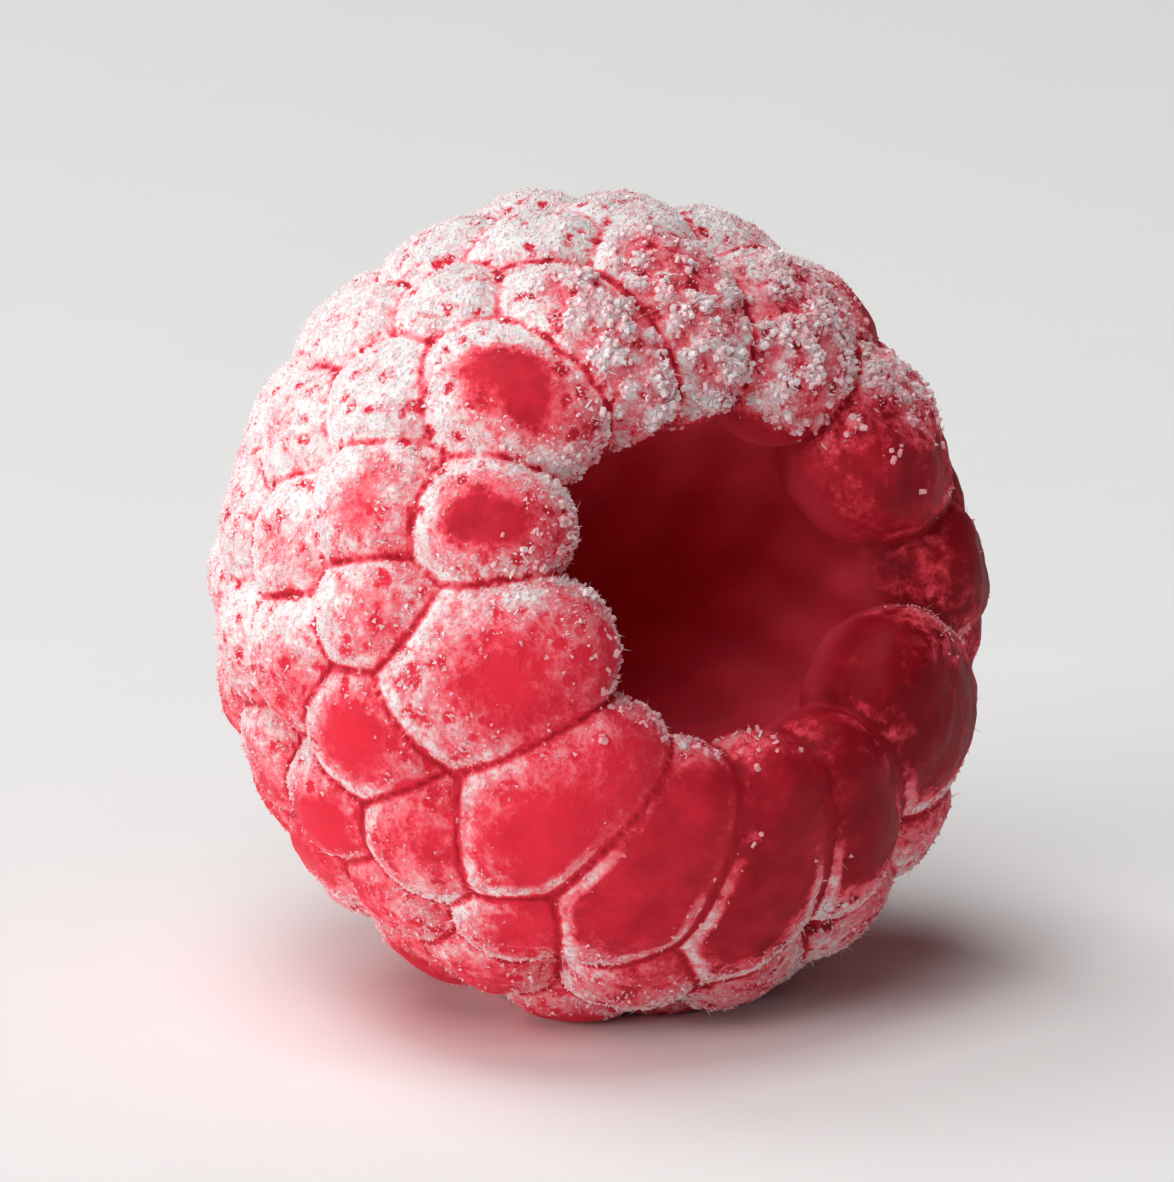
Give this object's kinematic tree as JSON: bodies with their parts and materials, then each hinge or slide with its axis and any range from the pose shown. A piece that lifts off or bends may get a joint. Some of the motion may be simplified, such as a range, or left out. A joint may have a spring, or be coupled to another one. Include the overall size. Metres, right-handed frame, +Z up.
{
  "type": "raspberry",
  "caption": "Picked frozen raspberry lying on its side: frosted drupelets grown together round an open hollow.",
  "frame": {"origin": "on the surface that the fruit lies on, under the middle of its own box", "axes": "+Z up, -Y towards the open mouth of the hollow, which also looks 20 degrees up, and +X to the right of someone who looks into the mouth"},
  "size_m": [0.0198, 0.0184, 0.0199],
  "materials": {
    "flesh": "crimson skin under hoarfrost: pink-white at the drupelets' borders and on top, redder where it has rubbed off",
    "frost": "loose ice crystals and short frozen hairs on the skin"
  },
  "bodies": {
    "root": {"berry": "flesh"}
  },
  "joints": []
}
